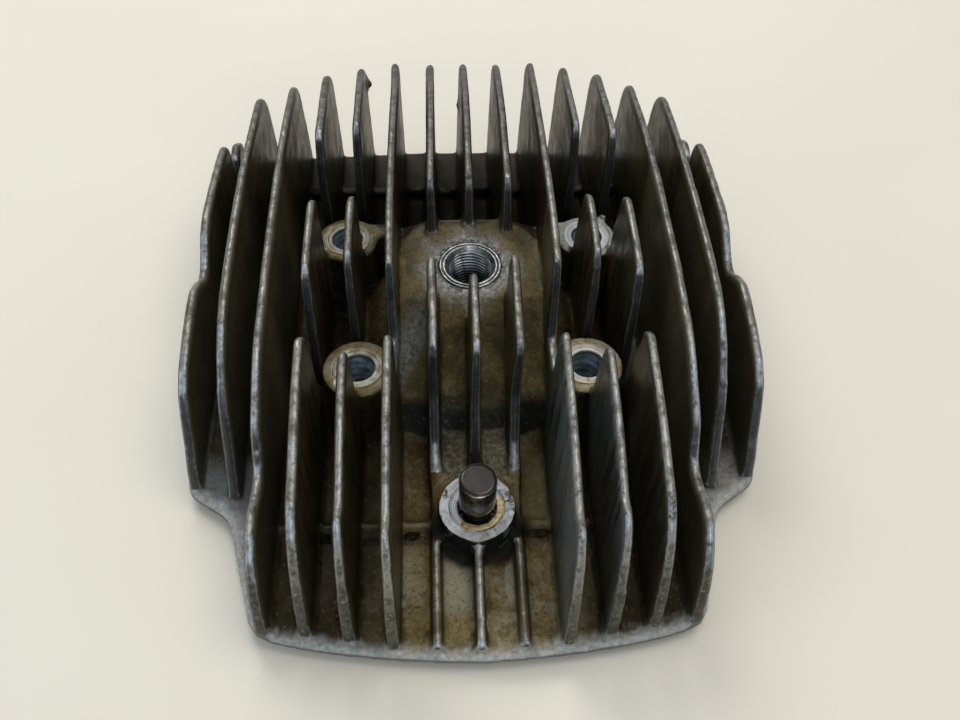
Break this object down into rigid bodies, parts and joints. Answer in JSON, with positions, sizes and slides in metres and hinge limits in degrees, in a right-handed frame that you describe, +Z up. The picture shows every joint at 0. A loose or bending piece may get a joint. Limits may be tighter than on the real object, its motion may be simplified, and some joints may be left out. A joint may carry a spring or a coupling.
{
  "type": "cylinder head",
  "caption": "Finned air-cooled two-stroke cylinder head with spark plug hole, stud seats and a sprung push-button compression release valve.",
  "frame": {"origin": "middle of the head's outline, on the gasket face that rests on the cylinder", "axes": "+Z up along the cylinder's axis, away from the cylinder; -Y towards the end with the compression release valve; +X to the right when seen from that end"},
  "size_m": [0.1668, 0.1996, 0.0619],
  "materials": {
    "cast_aluminium": "rough, oily casting",
    "insert_steel": "machined, satin",
    "washer_steel": "worn, satin",
    "bronze": "machined, stained",
    "valve_steel": "satin",
    "button_steel": "dark, polished by wear",
    "bright_steel": "satin",
    "spring_steel": "satin",
    "copper": "satin"
  },
  "bodies": {
    "head": {"head_casting": "cast_aluminium", "plug_thread_insert": "insert_steel", "stud_washer_front_left": "washer_steel", "stud_washer_front_right": "washer_steel", "stud_washer_rear_left": "washer_steel", "stud_washer_rear_right": "washer_steel", "valve_guide_bush": "bronze", "valve_seat_ring": "valve_steel", "valve_return_spring": "spring_steel", "valve_pocket_plug": "bright_steel", "pocket_plug_washer": "copper"},
    "release_valve": {"valve_stem": "valve_steel", "valve_button": "button_steel", "button_snap_ring": "bright_steel"}
  },
  "joints": [
    {"name": "release_press", "type": "slide", "parent": "head", "child": "release_valve", "axis": [0, 0, -1], "range_m": [0, 0.0022], "stiffness_N_per_m": 2000, "springref_m": -0.004, "deforming": ["valve_return_spring"]}
  ]
}
